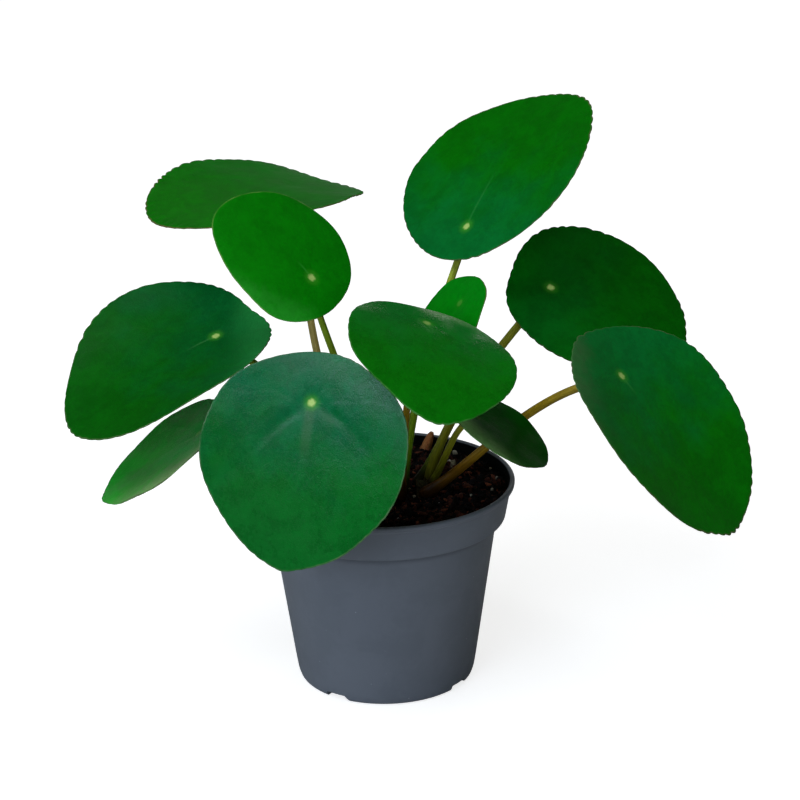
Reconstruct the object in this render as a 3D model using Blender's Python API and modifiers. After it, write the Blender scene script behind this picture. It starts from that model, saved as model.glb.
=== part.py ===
"""Potted Chinese money plant: a round-leaved house plant in a plain plastic nursery pot.

Metres, +Z up. The origin is the centre of the pot's base, on the surface that it stands on, and -Y is
the plant's front. Every leaf is a blade and a stalk. Seven stalks spring from a short trunk, and four from
a thin side stem beside it.
"""

import math

import bmesh
import bpy
from mathutils import Euler, Vector, noise

MM = 0.001
GAP = 0.3 * MM  # clearance where two pieces meet

# Pot, from its lip down
POT_HEIGHT = 95.3 * MM
LIP_RADIUS = 60.0 * MM
LIP_ROUND = 1.15 * MM
LIP_DEPTH = 2.6 * MM
COLLAR_TOP = 91.5 * MM
COLLAR_TOP_RADIUS = 58.2 * MM
COLLAR_LOW_RADIUS = 55.7 * MM
COLLAR_LOW = 78.0 * MM
STEP_LOW = 76.0 * MM
WALL_TOP_RADIUS = 51.6 * MM
WALL_LOW_RADIUS = 41.85 * MM
WALL_LOW = 8.0 * MM
BASE_RADIUS = 39.7 * MM
WALL = 1.4 * MM
FLOOR = 4.0 * MM
RECESS = 2.2 * MM
RECESS_INNER = 15.0 * MM
RECESS_OUTER = 33.5 * MM
POT_STEPS = 48

# Openings in the base
NOTCHES = 4
NOTCH_AZIMUTH = -124.0
NOTCH_WIDTH = 12.5 * MM
NOTCH_HEIGHT = 2.8 * MM
DRAINS = 6
DRAIN_CIRCLE = 25.0 * MM
DRAIN_RADIUS = 3.5 * MM

# Soil
SOIL_TOP = 90.5 * MM
SOIL_LUMPS = 1.7 * MM
SOIL_GRAIN = 9.0 * MM
SOIL_RINGS = 9
SOIL_STEPS = 44
HOLLOW = 2.6 * MM  # dip of the soil round each stem
HOLLOW_INNER = 7.5 * MM
HOLLOW_OUTER = 15.0 * MM

# Stems, which hold the feet of the stalks
STEMS = {
    "trunk": dict(at=(3.0, -12.0), radius=5.0, low=64.0, top=98.5, rings=6),
    "side_stem": dict(at=(17.5, -4.5), radius=2.6, low=72.0, top=95.5, rings=5),
}
STEM_STEPS = 20

# Blades
BLADE_THICKNESS = 0.9 * MM
BLADE_RINGS = (0.16, 0.42, 0.70, 1.0)
BLADE_SECTORS = 40
FULLNESS = 0.012  # share by which the outline fills its four quarters out or in
SCALLOP = 0.006  # share of the blade's radius
EDGE_WAVES = 7
EDGE_WAVE = 0.9 * MM

# Stalks
STALK_POINTS = 12
STALK_LOW_RADIUS = 2.0 * MM
STALK_TOP_RADIUS = 1.6 * MM

BRIGHT = (0.030, 0.190, 0.012)
GREEN = (0.018, 0.110, 0.022)
DARK = (0.010, 0.062, 0.014)
OLIVE = (0.040, 0.110, 0.024)
STALK_GREEN = (0.180, 0.240, 0.030)
STALK_TAN = (0.290, 0.220, 0.090)
STALK_BROWN = (0.190, 0.110, 0.020)

# One row a leaf. at is where the stalk meets the blade; heading is the compass bearing of the blade's tip,
# droop how far the tip hangs below level and bank its roll. seat is where the stalk meets the blade, as a share
# of the length from the blade's base. curl is the rise of the blade's ends and of its sides, and skew and side
# set its outline off its axis. foot is the stalk's stem and its bearing and height there; rise and drop are the
# reach of the stalk's curve away from its foot and down from its seat.
LEAVES = {
    "back_left": dict(
        at=(-40, 72, 214), heading=-139, droop=-6, bank=-1, length=101, width=96, seat=0.26, taper=0.08,
        curl=(-5.3, 3.5), skew=0.0, side=0.0, foot=("trunk", 112, 93), rise=(-36, 13, 41), drop=(-8, 18, 48),
        thick=1.0, leaf=OLIVE, stem=STALK_TAN,
    ),
    "upper_left": dict(
        at=(-29.5, -26, 199.5), heading=161, droop=-47, bank=-22, length=66, width=63, seat=0.25, taper=0.11,
        curl=(-3.0, -3.5), skew=0.03, side=0.0, foot=("trunk", 148, 94), rise=(-8, -4, 43), drop=(-3, -11, 26),
        thick=0.9, leaf=BRIGHT, stem=STALK_GREEN,
    ),
    "left": dict(
        at=(-73.5, -5, 166.5), heading=-156, droop=19, bank=-10, length=98.5, width=94, seat=0.233, taper=0.064,
        curl=(-4.2, 9.8), skew=0.013, side=-0.007, foot=("trunk", 184, 92), rise=(-14, 2, 32), drop=(-22, -5, 16),
        thick=1.0, leaf=GREEN, stem=STALK_GREEN,
    ),
    "low_left": dict(
        at=(-81.5, -25, 128), heading=167, droop=37, bank=-12, length=68, width=65, seat=0.21, taper=0.066,
        curl=(1.1, 2.3), skew=0.006, side=0.0, foot=("trunk", 220, 94), rise=(-17, -2, 14), drop=(-21, -2, 14),
        thick=0.9, leaf=GREEN, stem=STALK_GREEN,
    ),
    "front": dict(
        at=(-30, -65, 156), heading=-109, droop=60, bank=-1, length=93, width=90.5, seat=0.235, taper=0.117,
        curl=(-2.9, 6.3), skew=-0.008, side=0.016, foot=("trunk", 258, 92), rise=(-7, -10, 27), drop=(-8, -16, 16),
        thick=1.0, leaf=GREEN, stem=STALK_BROWN,
    ),
    "middle": dict(
        at=(20, -40, 182.5), heading=-86, droop=7, bank=-19, length=78, width=74.5, seat=0.197, taper=0.05,
        curl=(-5.6, 0.6), skew=0.0, side=0.013, foot=("trunk", 315, 93), rise=(2, -5, 37), drop=(9, -5, 25),
        thick=0.9, leaf=BRIGHT, stem=STALK_BROWN,
    ),
    "top": dict(
        at=(40, 40, 202), heading=54, droop=-43, bank=-11, length=102, width=97, seat=0.175, taper=0.026,
        curl=(-5.1, 2.0), skew=-0.01, side=0.005, foot=("trunk", 35, 92), rise=(5, 12, 48), drop=(10, 1, 28),
        thick=1.0, leaf=GREEN, stem=STALK_GREEN,
    ),
    "young_back": dict(
        at=(35.5, 4, 177), heading=-153, droop=51, bank=4, length=50.5, width=48.5, seat=0.27, taper=0.04,
        curl=(-4.9, 0.1), skew=0.0, side=0.0, foot=("side_stem", 118, 93.5), rise=(24, 31, 24), drop=(-6, -25, 23),
        thick=0.8, leaf=BRIGHT, stem=STALK_GREEN,
    ),
    "upper_right": dict(
        at=(79, 45, 170.5), heading=-1, droop=14, bank=30, length=88.5, width=85, seat=0.23, taper=0.093,
        curl=(-4.3, 1.3), skew=-0.005, side=-0.01, foot=("side_stem", 50, 92), rise=(2, -3, 28), drop=(19, 8, 17),
        thick=1.15, leaf=DARK, stem=STALK_GREEN,
    ),
    "right": dict(
        at=(105.5, -28, 152.5), heading=-38, droop=45, bank=-4, length=107, width=102, seat=0.22, taper=0.107,
        curl=(-1.2, 8.8), skew=0.01, side=0.008, foot=("side_stem", -52, 91), rise=(30, 0, 22), drop=(35, -26, 14),
        thick=1.15, leaf=GREEN, stem=STALK_BROWN,
    ),
    "young_right": dict(
        at=(41.5, -36, 137.5), heading=-12, droop=31, bank=3, length=49.5, width=47.5, seat=0.263, taper=0.03,
        curl=(-0.4, 1.2), skew=0.0, side=0.0, foot=("side_stem", 5, 93.5), rise=(8, -7, 17), drop=(9, -10, 5),
        thick=0.85, leaf=DARK, stem=STALK_GREEN,
    ),
}

# A dead stalk left in the soil by the pot's back wall
STUB_FOOT = Vector((15.6, 46.2, 82.0)) * MM
STUB_TIP = Vector((20.0, 50.5, 98.5)) * MM
STUB_RADIUS = 2.3 * MM


def clear_scene():
    for obj in list(bpy.data.objects):
        bpy.data.objects.remove(obj, do_unlink=True)


def new_collection(name):
    collection = bpy.data.collections.new(name)
    bpy.context.scene.collection.children.link(collection)
    return collection


def finish(name, colour, roughness):
    """A Principled material: no part of the plant or pot is metal."""
    material = bpy.data.materials.new(name)
    material.use_nodes = True
    shader = material.node_tree.nodes["Principled BSDF"]
    shader.inputs["Base Color"].default_value = (*colour, 1.0)
    shader.inputs["Roughness"].default_value = roughness
    shader.inputs["Metallic"].default_value = 0.0
    material.diffuse_color = (*colour, 1.0)
    return material


def add_object(name, data, collection, material=None):
    obj = bpy.data.objects.new(name, data)
    collection.objects.link(obj)
    if material:
        data.materials.append(material)
    return obj


def add_guide(name, data, collection):
    obj = add_object(name, data, collection)
    obj.hide_render = True
    obj.display_type = "WIRE"
    return obj


def cut(obj, cutter):
    boolean = obj.modifiers.new("cut " + cutter.name, "BOOLEAN")
    boolean.operation = "DIFFERENCE"
    boolean.solver = "EXACT"
    boolean.object = cutter


def evaluated_mesh(obj):
    """The object's mesh with its modifiers applied."""
    graph = bpy.context.evaluated_depsgraph_get()
    return bpy.data.meshes.new_from_object(obj.evaluated_get(graph), depsgraph=graph)


def turned(name, profile, steps, collection, material):
    """A profile of (radius, height) points turned about Z. It runs down the outer side."""
    mesh = bpy.data.meshes.new(name)
    points = [(radius, 0.0, height) for radius, height in profile]
    mesh.from_pydata(points, [(i, i + 1) for i in range(len(points) - 1)], [])
    obj = add_object(name, mesh, collection, material)
    screw = obj.modifiers.new("turn", "SCREW")
    screw.angle = 2 * math.pi
    screw.steps = screw.render_steps = steps
    screw.use_merge_vertices = True
    screw.merge_threshold = 0.01 * MM
    screw.use_smooth_shade = True
    return obj


def arc(centre, radius, start, end, count):
    """Points on an arc in the (radius, height) plane, angles in degrees from the outward direction."""
    angles = [math.radians(start + (end - start) * i / (count - 1)) for i in range(count)]
    return [(centre[0] + radius * math.cos(a), centre[1] + radius * math.sin(a)) for a in angles]


def inner_wall():
    """The pot's inside, from the floor's edge to the lip."""
    return [
        (BASE_RADIUS - 0.5 * WALL, FLOOR),
        (WALL_LOW_RADIUS - WALL, WALL_LOW),
        (WALL_TOP_RADIUS - WALL, STEP_LOW + 0.6 * MM),
        (COLLAR_LOW_RADIUS - WALL, COLLAR_LOW + 0.8 * MM),
        (COLLAR_TOP_RADIUS - WALL, COLLAR_TOP),
        (LIP_RADIUS - 2 * LIP_ROUND, POT_HEIGHT - LIP_ROUND),
    ]


def pot(collection, cutters, material):
    lip_centre = (LIP_RADIUS - LIP_ROUND, POT_HEIGHT - LIP_ROUND)
    lip_low = POT_HEIGHT - LIP_DEPTH
    profile = [(0.0, FLOOR)] + inner_wall()
    profile += arc(lip_centre, LIP_ROUND, 180, 0, 6)[1:]
    profile += [
        (LIP_RADIUS - 0.15 * MM, lip_low + 0.4 * MM),
        (LIP_RADIUS - 0.8 * MM, lip_low - 0.1 * MM),
        (COLLAR_TOP_RADIUS + 0.3 * MM, lip_low - 0.5 * MM),
        (COLLAR_TOP_RADIUS, COLLAR_TOP),
        (COLLAR_LOW_RADIUS, COLLAR_LOW),
        (COLLAR_LOW_RADIUS - 0.4 * MM, COLLAR_LOW - 1.1 * MM),
        (WALL_TOP_RADIUS + 0.5 * MM, STEP_LOW + 0.5 * MM),
        (WALL_TOP_RADIUS - 0.1 * MM, STEP_LOW - 0.6 * MM),
        (WALL_LOW_RADIUS, WALL_LOW),
        (WALL_LOW_RADIUS - 0.35 * MM, 5.5 * MM),
        (WALL_LOW_RADIUS - 0.85 * MM, 3.0 * MM),
        (BASE_RADIUS + 0.6 * MM, 1.1 * MM),
        (BASE_RADIUS - 0.3 * MM, 0.0),
        (RECESS_OUTER + 0.8 * MM, 0.0),
        (RECESS_OUTER, RECESS),
        (RECESS_INNER, RECESS),
        (RECESS_INNER - 0.8 * MM, 0.0),
        (0.0, 0.0),
    ]
    obj = turned("pot", profile, POT_STEPS, collection, material)
    cut(obj, foot_notches(cutters))
    cut(obj, drain_holes(cutters))
    return obj


def foot_notches(cutters):
    """Low boxes across the foot ring, joined in one cutter."""
    bm = bmesh.new()
    reach = BASE_RADIUS + 6 * MM - (RECESS_OUTER - 2 * MM)
    middle = 0.5 * (BASE_RADIUS + 6 * MM + RECESS_OUTER - 2 * MM)
    for i in range(NOTCHES):
        azimuth = math.radians(NOTCH_AZIMUTH + 360.0 * i / NOTCHES)
        box = bmesh.ops.create_cube(bm, size=1.0)["verts"]
        bmesh.ops.scale(bm, verts=box, vec=(reach, NOTCH_WIDTH, 2 * NOTCH_HEIGHT))
        bmesh.ops.translate(bm, verts=box, vec=(middle, 0.0, 0.0))
        bmesh.ops.rotate(bm, verts=box, matrix=Euler((0, 0, azimuth)).to_matrix())
    return bmesh_guide("foot_notches", bm, cutters)


def drain_holes(cutters):
    bm = bmesh.new()
    for i in range(DRAINS):
        azimuth = 2 * math.pi * i / DRAINS
        hole = bmesh.ops.create_cone(
            bm, cap_ends=True, segments=16, radius1=DRAIN_RADIUS, radius2=DRAIN_RADIUS, depth=3 * FLOOR
        )["verts"]
        place = (DRAIN_CIRCLE * math.cos(azimuth), DRAIN_CIRCLE * math.sin(azimuth), 0.5 * FLOOR)
        bmesh.ops.translate(bm, verts=hole, vec=place)
    return bmesh_guide("drain_holes", bm, cutters)


def bmesh_guide(name, bm, cutters):
    mesh = bpy.data.meshes.new(name)
    bm.to_mesh(mesh)
    bm.free()
    return add_guide(name, mesh, cutters)


def soil_height(x, y):
    """How far the surface stands above or below its mean level."""
    lump = noise.noise(Vector((x, y, 0.0)) / SOIL_GRAIN)
    crumb = noise.noise(Vector((x, y, 0.05)) / (0.4 * SOIL_GRAIN))
    nearest = min((Vector((x, y)) - Vector(stem["at"]) * MM).length for stem in STEMS.values())
    clear = max(0.0, min(1.0, (nearest - HOLLOW_INNER) / (HOLLOW_OUTER - HOLLOW_INNER)))
    return SOIL_LUMPS * (lump + 0.5 * crumb) * clear - HOLLOW * (1.0 - clear)


def soil(collection, cutters, material):
    """Fills the pot inside its wall. Only the surface is lumpy, flat again at its edge."""
    inner = [(radius - GAP, max(height, FLOOR + GAP)) for radius, height in inner_wall()]
    below = [point for point in inner if point[1] < SOIL_TOP]
    lower, upper = below[-1], inner[len(below)]
    share = (SOIL_TOP - lower[1]) / (upper[1] - lower[1])
    edge = lower[0] + share * (upper[0] - lower[0])
    surface = [(edge * i / SOIL_RINGS, SOIL_TOP) for i in range(SOIL_RINGS + 1)]
    profile = surface + below[::-1] + [(0.0, FLOOR + GAP)]
    blank = turned("soil_blank", profile, SOIL_STEPS, cutters, None)
    mesh = evaluated_mesh(blank)
    bpy.data.objects.remove(blank)
    mesh.name = "soil"
    for vertex in mesh.vertices:
        spread = math.hypot(vertex.co.x, vertex.co.y) / edge
        if vertex.co.z > SOIL_TOP - GAP and spread < 0.98:
            vertex.co.z += soil_height(vertex.co.x, vertex.co.y)
    obj = add_object("soil", mesh, collection, material)
    for name, stem in STEMS.items():
        low = Vector((*stem["at"], stem["low"])) * MM - Vector((0, 0, GAP))
        high = Vector((*stem["at"], 0.0)) * MM + Vector((0, 0, POT_HEIGHT))
        cut(obj, round_hole(name + "_hole", low, high, stem["radius"] * MM + GAP, cutters))
    way = (STUB_TIP - STUB_FOOT).normalized()
    cut(obj, round_hole("stub_hole", STUB_FOOT - GAP * way, STUB_TIP, STUB_RADIUS + GAP, cutters))
    return obj


def round_hole(name, low, high, radius, cutters):
    """A cutter round the line from low to high, wide enough that its flats clear the radius."""
    bm = bmesh.new()
    wide = radius / math.cos(math.pi / STEM_STEPS)
    bmesh.ops.create_cone(
        bm, cap_ends=True, segments=STEM_STEPS, radius1=wide, radius2=wide, depth=(high - low).length
    )
    bmesh.ops.rotate(bm, verts=bm.verts, matrix=(high - low).to_track_quat("Z", "Y").to_matrix())
    bmesh.ops.translate(bm, verts=bm.verts, vec=0.5 * (low + high))
    return bmesh_guide(name, bm, cutters)


def woody_stem(name, stem, collection, material):
    """A short stem ringed by old leaf scars, its foot in the soil."""
    radius, low, top = (stem[key] * MM for key in ("radius", "low", "top"))
    profile = [(0.0, top), (0.55 * radius, top - 0.16 * radius), (0.86 * radius, top - 0.5 * radius)]
    pitch = (top - 0.8 * radius - low) / stem["rings"]
    for i in range(stem["rings"]):
        high = top - 0.8 * radius - i * pitch
        profile += [(0.92 * radius, high), (radius, high - 0.55 * pitch)]
    profile += [(0.9 * radius, low), (0.0, low)]
    obj = turned(name, profile, STEM_STEPS, collection, material)
    obj.location = Vector((*stem["at"], 0.0)) * MM
    return obj


def poly_tube(name, points, radii, collection, material):
    curve = bpy.data.curves.new(name, "CURVE")
    curve.dimensions = "3D"
    curve.bevel_depth = 1.0
    curve.bevel_resolution = 2
    curve.use_fill_caps = True
    spline = curve.splines.new("POLY")
    spline.points.add(len(points) - 1)
    for target, point, radius in zip(spline.points, points, radii):
        target.co = (*point, 1.0)
        target.radius = radius
    return add_object(name, curve, collection, material)


def old_stub(collection, material):
    """The dried foot of a shed stalk, standing in its hole and bent over a little at its tip."""
    bend = Vector((-1.2, 0.8, 0.0)) * MM
    steps = [i / 5 for i in range(6)]
    points = [STUB_FOOT.lerp(STUB_TIP, t) + bend * max(0.0, t - 0.6) ** 2 for t in steps]
    radii = [STUB_RADIUS * (1.0 - 0.6 * t**3) for t in steps]
    return poly_tube("old_stub", points, radii, collection, material)


def leaf_turn(leaf):
    return Euler([math.radians(leaf[key]) for key in ("bank", "droop", "heading")], "XYZ").to_matrix()


def blade(name, leaf, number, collection, material):
    """A round blade about the point where its stalk meets it, thickened from one curved sheet."""
    length, width = leaf["length"] * MM, leaf["width"] * MM
    ends, sides = (rise * MM for rise in leaf["curl"])
    bm = bmesh.new()
    spoke = [bm.verts.new((share, 0.0, 0.0)) for share in (0.0, *BLADE_RINGS)]
    edges = [bm.edges.new(pair) for pair in zip(spoke, spoke[1:])]
    bmesh.ops.spin(
        bm, geom=spoke + edges, axis=(0, 0, 1), cent=(0, 0, 0), steps=BLADE_SECTORS, angle=2 * math.pi, use_merge=True
    )
    bmesh.ops.remove_doubles(bm, verts=bm.verts, dist=1e-5)
    for vertex in bm.verts:
        share = math.hypot(vertex.co.x, vertex.co.y)
        angle = math.atan2(vertex.co.y, vertex.co.x)
        scallop = SCALLOP * math.cos(0.5 * BLADE_SECTORS * angle)
        reach = share * (1 + FULLNESS * math.cos(4 * angle) + leaf["skew"] * math.sin(3 * angle) + scallop)
        x = reach * length * (0.5 * math.cos(angle) + 0.5 - leaf["seat"])
        y = reach * width * (0.5 * math.sin(angle) * (1 - leaf["taper"] * math.cos(angle)) + leaf["side"])
        wave = EDGE_WAVE * share**4 * math.sin(EDGE_WAVES * angle + 1.7 * number)
        vertex.co = (x, y, ends * (2 * x / length) ** 2 + sides * (2 * y / width) ** 2 + wave)
    bmesh.ops.triangulate(bm, faces=bm.faces)
    bmesh.ops.recalc_face_normals(bm, faces=bm.faces)
    if sum(face.normal.z for face in bm.faces) < 0:
        bmesh.ops.reverse_faces(bm, faces=bm.faces)
    mesh = bpy.data.meshes.new(name)
    bm.to_mesh(mesh)
    bm.free()
    mesh.shade_smooth()
    obj = add_object(name, mesh, collection, material)
    obj.location = Vector(leaf["at"]) * MM
    obj.rotation_euler = leaf_turn(leaf).to_euler("XYZ")
    solidify = obj.modifiers.new("thickness", "SOLIDIFY")
    solidify.thickness = BLADE_THICKNESS
    solidify.offset = 0.0
    return obj


def stalk(name, leaf, collection, material):
    """A tapered tube on one smooth curve from its stem's side to the underside of the blade."""
    low, high = STALK_LOW_RADIUS * leaf["thick"], STALK_TOP_RADIUS * leaf["thick"]
    stem_name, bearing, height = leaf["foot"]
    stem = STEMS[stem_name]
    rise, drop = Vector(leaf["rise"]) * MM, Vector(leaf["drop"]) * MM
    out = Vector((math.cos(math.radians(bearing)), math.sin(math.radians(bearing)), 0.0))
    reach = stem["radius"] * MM + GAP + low * across(rise, out)
    start = Vector((*stem["at"], height)) * MM + out * reach
    normal = leaf_turn(leaf).col[2]
    end = Vector(leaf["at"]) * MM - normal * (0.5 * BLADE_THICKNESS + GAP + high * across(drop, normal))
    handles = [start, start + rise, end - drop, end]
    points, radii = [], []
    for i in range(STALK_POINTS):
        t = i / (STALK_POINTS - 1)
        points.append(bezier(handles, t))
        radii.append(low + (high - low) * t**0.6)
    return poly_tube(name, points, radii, collection, material)


def across(way, normal):
    """The sine of the angle between a direction and a unit normal."""
    return way.normalized().cross(normal).length


def bezier(handles, t):
    a, b, c, d = handles
    s = 1.0 - t
    return a * s**3 + b * 3 * s * s * t + c * 3 * s * t * t + d * t**3


def build():
    clear_scene()
    plant = new_collection("potted_money_plant")
    cutters = new_collection("cutters")
    pot(plant, cutters, finish("grey_plastic", (0.085, 0.100, 0.125), 0.45))
    soil(plant, cutters, finish("potting_soil", (0.012, 0.006, 0.004), 0.95))
    for name, stem in STEMS.items():
        woody_stem(name, stem, plant, finish(name, (0.070, 0.045, 0.020), 0.80))
    old_stub(plant, finish("dry_stalk", (0.330, 0.130, 0.045), 0.70))
    for number, (place, leaf) in enumerate(LEAVES.items()):
        blade("blade_" + place, leaf, number, plant, finish("blade_" + place, leaf["leaf"], 0.42))
        stalk("stalk_" + place, leaf, plant, finish("stalk_" + place, leaf["stem"], 0.50))


build()
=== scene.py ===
import random
from math import cos, exp, hypot, pi, radians, sin, sqrt, tan

import bmesh
import bpy
import numpy as np
from mathutils import Euler, Matrix, Vector, noise


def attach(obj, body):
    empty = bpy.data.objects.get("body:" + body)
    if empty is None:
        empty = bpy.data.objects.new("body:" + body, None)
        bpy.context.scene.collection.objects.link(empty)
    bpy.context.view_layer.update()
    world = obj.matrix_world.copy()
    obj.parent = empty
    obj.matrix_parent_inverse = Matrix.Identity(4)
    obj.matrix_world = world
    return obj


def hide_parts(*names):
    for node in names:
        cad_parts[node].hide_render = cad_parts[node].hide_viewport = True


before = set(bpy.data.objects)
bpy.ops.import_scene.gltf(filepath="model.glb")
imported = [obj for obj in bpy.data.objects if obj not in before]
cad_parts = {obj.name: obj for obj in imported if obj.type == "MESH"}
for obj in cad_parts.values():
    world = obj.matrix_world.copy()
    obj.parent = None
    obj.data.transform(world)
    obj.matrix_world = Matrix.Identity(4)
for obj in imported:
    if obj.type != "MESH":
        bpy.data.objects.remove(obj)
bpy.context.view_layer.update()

mm = 0.001

scene = bpy.context.scene
scene.view_settings.view_transform = "Standard"
scene.view_settings.look = "None"
print("frame loaded")


def newObject(mesh, materials=()):
    obj = bpy.data.objects.new(mesh.name, mesh)
    scene.collection.objects.link(obj)
    for material in materials:
        mesh.materials.append(material)
    mesh.shade_smooth()
    return obj


def meshFrom(name, points, faces, marks=None, scale=mm):
    # points are rows in mm, faces lists of corners, marks named values for each point
    mesh = bpy.data.meshes.new(name)
    mesh.from_pydata((np.array(points, dtype=float) * scale).tolist(), [], faces)
    for key, values in (marks or {}).items():
        values = np.asarray(values, dtype=np.float32)
        kind, field = ("FLOAT_VECTOR", "vector") if values.ndim == 2 else ("FLOAT", "value")
        mesh.attributes.new(key, kind, "POINT").data.foreach_set(field, values.ravel())
    mesh.update()
    return mesh


def outwardMesh(name, points, faces, marks=None):
    mesh = meshFrom(name, points, faces, marks)
    bm = bmesh.new()
    bm.from_mesh(mesh)
    bmesh.ops.recalc_face_normals(bm, faces=bm.faces)
    bm.to_mesh(mesh)
    bm.free()
    return mesh


def smoothStep(low, high, value):
    t = np.clip((value - low) / (high - low), 0.0, 1.0)
    return t * t * (3 - 2 * t)


def noiseAt(points):
    return np.array([noise.noise(Vector(point)) for point in points])


def gridFaces(rows, columns, closed=True):
    # quads between rows of points that follow each other
    faces = []
    for r in range(rows - 1):
        for c in range(columns if closed else columns - 1):
            n = (c + 1) % columns
            faces.append((r * columns + c, r * columns + n, (r + 1) * columns + n, (r + 1) * columns + c))
    return faces


def ringPoints(radius, z, steps, centre=(0.0, 0.0)):
    turns = [2 * pi * i / steps for i in range(steps)]
    return [(centre[0] + radius * cos(turn), centre[1] + radius * sin(turn), z) for turn in turns]


def shell(loops, first=None, last=None):
    # loops of points joined in order; each end closes on a tip, or flat where no tip is given
    count, points = len(loops[0]), [point for loop in loops for point in loop]
    faces = gridFaces(len(loops), count)
    for tip, start in ((first, 0), (last, len(points) - count)):
        edge = list(range(start, start + count))
        if tip is None:
            faces.append(tuple(edge if start else edge[::-1]))
            continue
        for a, b in zip(edge, edge[1:] + edge[:1]):
            faces.append((a, b, len(points)) if start else (b, a, len(points)))
        points.append(tip)
    return points, faces


def joined(shapes):
    # several (points, faces) shapes as one
    faces, start = [], 0
    for own, ownFaces in shapes:
        faces += [tuple(start + corner for corner in face) for face in ownFaces]
        start += len(own)
    return np.vstack([own for own, _ in shapes]), faces


class nodeSet:
    # adds nodes to one tree, side by side, and wires them by name
    def __init__(self, tree):
        self.tree = tree

    def add(self, kind, inputs=None, **values):
        node = self.tree.nodes.new(kind)
        node.location = (190 * len(self.tree.nodes), 0)
        for key, value in values.items():
            setattr(node, key, value)
        for key, value in (inputs or {}).items():
            self.feed(node.inputs[key], value)
        return node

    def feed(self, socket, value):
        if isinstance(value, bpy.types.NodeSocket):
            self.tree.links.new(value, socket)
        elif hasattr(socket, "default_value"):
            socket.default_value = (*value, 1.0) if socket.type == "RGBA" and len(value) == 3 else value

    def math(self, operation, a, b=0.5, c=0.5):
        return self.add("ShaderNodeMath", {0: a, 1: b, 2: c}, operation=operation).outputs[0]

    def times(self, a, b):
        return self.math("MULTIPLY", a, b)

    def plus(self, a, b):
        return self.math("ADD", a, b)

    def vector(self, operation, a, b=(0, 0, 0)):
        node = self.add("ShaderNodeVectorMath", {0: a, 1: b}, operation=operation)
        return node.outputs["Value" if operation in ("LENGTH", "DOT_PRODUCT") else "Vector"]

    def parts(self, vector):
        return self.add("ShaderNodeSeparateXYZ", {"Vector": vector}).outputs

    def outward(self, place):
        return self.vector("NORMALIZE", self.vector("MULTIPLY", place, (1.0, 1.0, 0.0)))

    def spread(self, value, low, high, start=0.0, end=1.0):
        values = {"Value": value, "From Min": low, "From Max": high, "To Min": start, "To Max": end}
        return self.add("ShaderNodeMapRange", values, interpolation_type="SMOOTHSTEP").outputs[0]

    def fall(self, value, low, high, start=1.0):
        return self.spread(value, low, high, start, 0.0)

    def mix(self, share, a, b, blend="MIX"):
        node = self.add("ShaderNodeMix", data_type="RGBA", blend_type=blend, clamp_factor=True)
        for key, value in (("Factor", share), ("A", a), ("B", b)):
            self.feed(node.inputs[key], value)
        return node.outputs["Result"]

    def noise(self, place, scale, detail=2.0, roughness=0.5, warp=0.0, output="Fac"):
        values = {"Vector": place, "Scale": scale, "Detail": detail, "Roughness": roughness, "Distortion": warp}
        return self.add("ShaderNodeTexNoise", values).outputs[output]

    def cells(self, place, scale, feature="F1", output="Distance"):
        return self.add("ShaderNodeTexVoronoi", {"Vector": place, "Scale": scale}, feature=feature).outputs[output]

    def attribute(self, name, output="Fac"):
        return self.add("ShaderNodeAttribute", attribute_name=name).outputs[output]

    def millimetres(self):
        return self.vector("MULTIPLY", self.add("ShaderNodeTexCoord").outputs["Object"], (1000.0, 1000.0, 1000.0))

    def group(self, tree, **inputs):
        return self.add("ShaderNodeGroup", inputs, node_tree=tree).outputs

    def surface(self, colour, roughness, height, depth, strength):
        bump = self.add("ShaderNodeBump", {"Height": height, "Distance": depth, "Strength": strength})
        self.feed(self.sockets["Base Color"], colour)
        self.feed(self.sockets["Roughness"], roughness)
        self.feed(self.sockets["Normal"], bump.outputs["Normal"])
        return self.material


def newGroup(name, inputs, outputs):
    # a group that takes a place and some values, and puts out values
    tree = bpy.data.node_groups.new(name, "ShaderNodeTree")
    tree.interface.new_socket("Place", in_out="INPUT", socket_type="NodeSocketVector")
    for way, keys in (("INPUT", inputs), ("OUTPUT", outputs)):
        for key in keys:
            tree.interface.new_socket(key, in_out=way, socket_type="NodeSocketFloat")
    nodes = nodeSet(tree)
    return nodes, nodes.add("NodeGroupInput").outputs, nodes.add("NodeGroupOutput").inputs


def newMaterial(name, gloss):
    material = bpy.data.materials.new(name)
    material.use_nodes = True
    nodes = nodeSet(material.node_tree)
    nodes.material, nodes.sockets = material, material.node_tree.nodes["Principled BSDF"].inputs
    nodes.sockets["Specular IOR Level"].default_value = gloss
    return nodes


# the eye's distance in metres, its angles in degrees and its lens
view = dict(distance=1.2558, elevation=25.74, yaw=0.39, pitch=5.7, roll=-0.87, lens=120.0)


def placeCamera():
    rise, yaw, pitch, roll = (radians(view[key]) for key in ("elevation", "yaw", "pitch", "roll"))
    eye = Vector((0.0, -view["distance"] * cos(rise), view["distance"] * sin(rise)))
    ahead = -eye.normalized()
    right = Vector((1.0, 0.0, 0.0))
    up = right.cross(ahead)
    ahead = (ahead + tan(yaw) * right + tan(pitch) * up).normalized()
    right = ahead.cross(Vector((0, 0, 1))).normalized()
    up = right.cross(ahead)
    across = cos(roll) * right + sin(roll) * up
    above = -sin(roll) * right + cos(roll) * up
    data = bpy.data.cameras.new("camera")
    data.lens, data.sensor_width, data.clip_start, data.clip_end = view["lens"], 36.0, 0.05, 30.0
    camera = bpy.data.objects.new("camera", data)
    scene.collection.objects.link(camera)
    camera.matrix_world = Matrix.Translation(eye) @ Matrix((across, above, -ahead)).transposed().to_4x4()
    scene.camera = camera


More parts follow.
